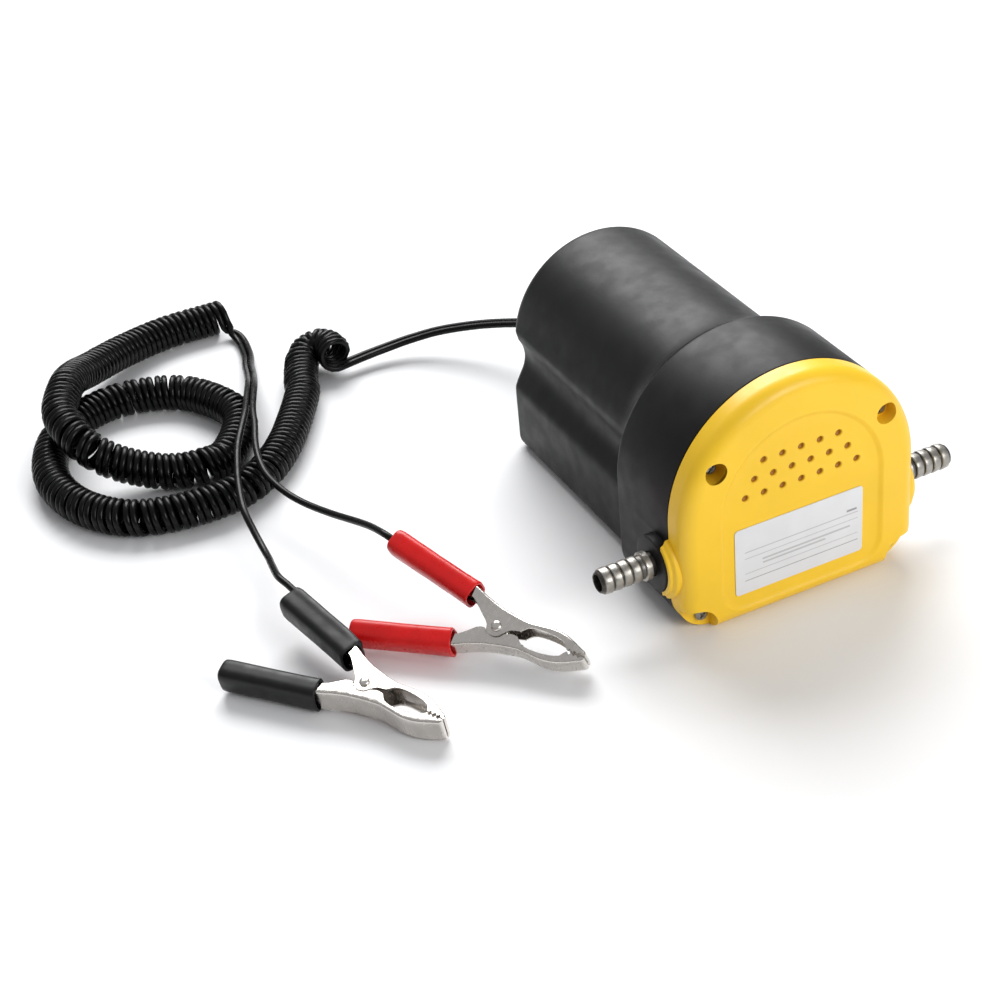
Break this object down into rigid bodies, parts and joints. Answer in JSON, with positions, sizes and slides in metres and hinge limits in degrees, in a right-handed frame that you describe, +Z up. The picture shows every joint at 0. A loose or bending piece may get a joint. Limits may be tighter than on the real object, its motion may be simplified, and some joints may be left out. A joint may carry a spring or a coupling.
{
  "type": "fluid transfer pump",
  "caption": "Fluid transfer pump: gear pump and motor in a black case with a yellow vented cover, ridged hose barbs, and a curly lead to red and black battery clips.",
  "frame": {"origin": "centre of the underside of the case with its hose barbs, lead and clips left out, on the surface it stands on", "axes": "+Z up, +Y from the yellow cover towards the switch end, +X towards the outlet barb"},
  "size_m": [0.3051, 0.3302, 0.0961],
  "materials": {
    "black_plastic": "moulded, satin",
    "yellow_plastic": "moulded, soft gloss",
    "white_vinyl": "satin sticker",
    "black_vinyl": "glossy",
    "red_vinyl": "glossy",
    "black_rubber": "matte",
    "nickel": "nickel plated",
    "zinc_steel": "zinc plated",
    "dark_steel": "dark oxide",
    "copper": "enamelled wire",
    "pump_plastic": "glass-filled",
    "carbon": "matte"
  },
  "bodies": {
    "pump": {"black_fixed_jaw": "nickel", "black_lead": "black_vinyl", "black_rivet": "nickel", "black_sleeve_wired": "black_vinyl", "black_spring": "nickel", "brush_left": "carbon", "brush_right": "carbon", "coil_cord": "black_vinyl", "cord_tail": "black_vinyl", "cover_screw_1": "dark_steel", "cover_screw_2": "dark_steel", "cover_screw_3": "dark_steel", "cover_screw_4": "dark_steel", "front_bearing": "nickel", "front_cover": "yellow_plastic", "idler_pin": "dark_steel", "inlet_barb": "zinc_steel", "magnet_left": "dark_steel", "magnet_right": "dark_steel", "motor_can": "zinc_steel", "motor_end_cap": "black_plastic", "motor_screw_left": "zinc_steel", "motor_screw_right": "zinc_steel", "outlet_barb": "zinc_steel", "plate_screw_1": "zinc_steel", "plate_screw_2": "zinc_steel", "plate_screw_3": "zinc_steel", "plate_screw_4": "zinc_steel", "pump_body": "pump_plastic", "pump_gasket": "black_rubber", "pump_plate": "zinc_steel", "rating_label": "white_vinyl", "rear_bearing": "nickel", "rear_housing": "black_plastic", "red_fixed_jaw": "nickel", "red_lead": "black_vinyl", "red_rivet": "nickel", "red_sleeve_wired": "red_vinyl", "red_spring": "nickel", "rocker_body": "black_plastic", "shaft_seal": "black_rubber", "strain_relief": "black_rubber", "supply_cord": "black_vinyl"},
    "switch_button": {"rocker_button": "black_plastic"},
    "rotor": {"motor_shaft": "nickel", "armature_core": "dark_steel", "armature_winding": "copper", "commutator": "copper", "drive_gear": "zinc_steel"},
    "idler": {"idler_gear": "zinc_steel"},
    "red_clip_half": {"red_moving_jaw": "nickel", "red_sleeve_free": "red_vinyl"},
    "black_clip_half": {"black_moving_jaw": "nickel", "black_sleeve_free": "black_vinyl"}
  },
  "joints": [
    {"name": "rocker_tilt", "type": "hinge", "parent": "pump", "child": "switch_button", "pos_m": [0, 0.076, 0.06], "axis": [0, 0, 1], "range_deg": [0, 20]},
    {"name": "motor_spin", "type": "hinge", "parent": "pump", "child": "rotor", "pos_m": [0, 0, 0.05], "axis": [0, 1, 0], "continuous": true},
    {"name": "idler_spin", "type": "hinge", "parent": "pump", "child": "idler", "pos_m": [0, 0, 0.036], "axis": [0, 1, 0], "continuous": true},
    {"name": "red_clip_open", "type": "hinge", "parent": "pump", "child": "red_clip_half", "pos_m": [-0.1112, -0.0489, 0.0116], "axis": [0.3723, 0.3958, -0.8395], "range_deg": [0, 26], "stiffness_Nm_per_rad": 0.3, "springref_deg": -20.05, "deforming": ["red_spring"]},
    {"name": "black_clip_open", "type": "hinge", "parent": "pump", "child": "black_clip_half", "pos_m": [-0.1651, -0.0507, 0.0084], "axis": [0.1679, 0.144, -0.9752], "range_deg": [0, 26], "stiffness_Nm_per_rad": 0.3, "springref_deg": -20.05, "deforming": ["black_spring"]}
  ],
  "couplings": [
    {"joint": "idler_spin", "follows": "motor_spin", "ratio": -1}
  ]
}
